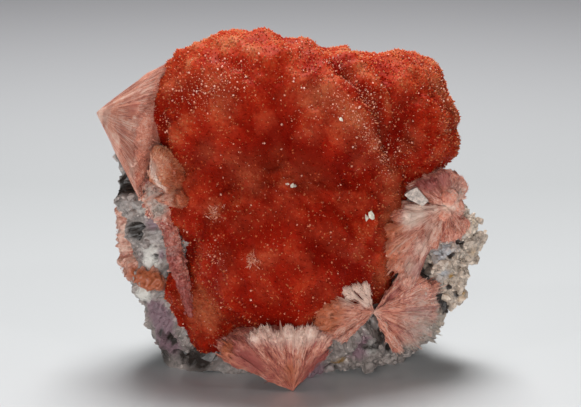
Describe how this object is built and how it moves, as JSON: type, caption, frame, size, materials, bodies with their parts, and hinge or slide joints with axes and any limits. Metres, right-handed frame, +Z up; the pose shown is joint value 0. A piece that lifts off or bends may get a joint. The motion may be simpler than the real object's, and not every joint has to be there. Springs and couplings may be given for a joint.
{
  "type": "inesite mineral specimen",
  "caption": "Inesite specimen: red velvety crystal crusts and pink silky fibre sprays grown on a grey-white quartz matrix, standing on its trimmed underside.",
  "frame": {"origin": "bottom centre of the specimen's box, on the surface that it stands on", "axes": "+Z up, +X to the right of a viewer who faces the red crusts, -Y towards that viewer"},
  "size_m": [0.0622, 0.0416, 0.0553],
  "materials": {
    "grey_quartz": "rough, milky and grey quartz with dark host rock",
    "red_druse": "velvety crust of fine glassy crystals",
    "deep_red_druse": "velvety crust of fine glassy crystals, darker",
    "pink_fibre": "silky radiating fibres",
    "tan_fibre": "silky fibres, tan",
    "orange_fibre": "cross-striated fibres, pink-orange",
    "cream_quartz": "blunt cream and white quartz"
  },
  "bodies": {
    "root": {"quartz_matrix": "grey_quartz", "main_dome": "red_druse", "upper_right_dome": "red_druse", "lower_left_crust": "deep_red_druse", "left_spray": "pink_fibre", "bottom_spray": "pink_fibre", "lower_right_spray": "pink_fibre", "right_spray": "pink_fibre", "upper_left_tuft": "tan_fibre", "lower_left_tuft": "tan_fibre", "left_rim": "orange_fibre", "right_quartz_knobs": "cream_quartz"}
  },
  "joints": []
}
